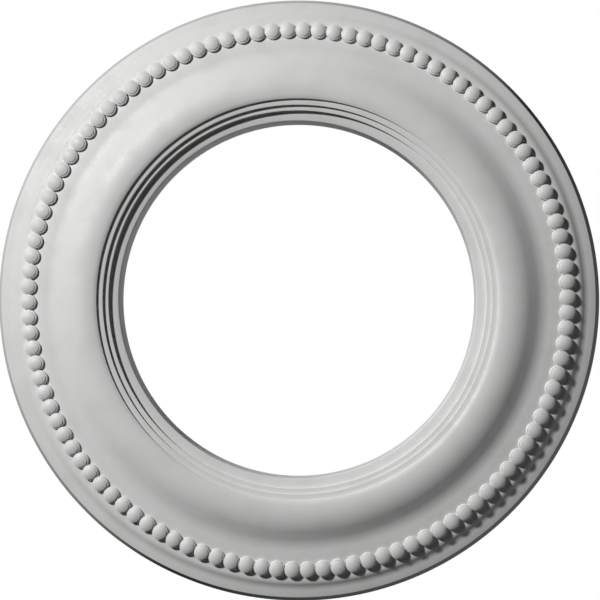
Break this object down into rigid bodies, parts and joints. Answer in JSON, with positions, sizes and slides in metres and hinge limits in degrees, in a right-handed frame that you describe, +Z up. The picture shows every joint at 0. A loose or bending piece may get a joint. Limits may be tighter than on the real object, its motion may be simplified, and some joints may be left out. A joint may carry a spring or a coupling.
{
  "type": "ceiling rose ring",
  "caption": "Round moulded ceiling rose with a string of beads, a bold ogee and an open middle, for a recessed light or a lamp's canopy.",
  "frame": {"origin": "centre of the flat back, in the plane of the ceiling", "axes": "+Z up into the ceiling, along the ring's axis; the moulded face looks down, towards -Z; X and Y lie in the ceiling's plane"},
  "size_m": [0.3412, 0.3412, 0.0318],
  "materials": {
    "primed_white": "satin-matte white primer on moulded rigid polyurethane foam"
  },
  "bodies": {
    "root": {"ceiling_rose_ring": "primed_white"}
  },
  "joints": []
}
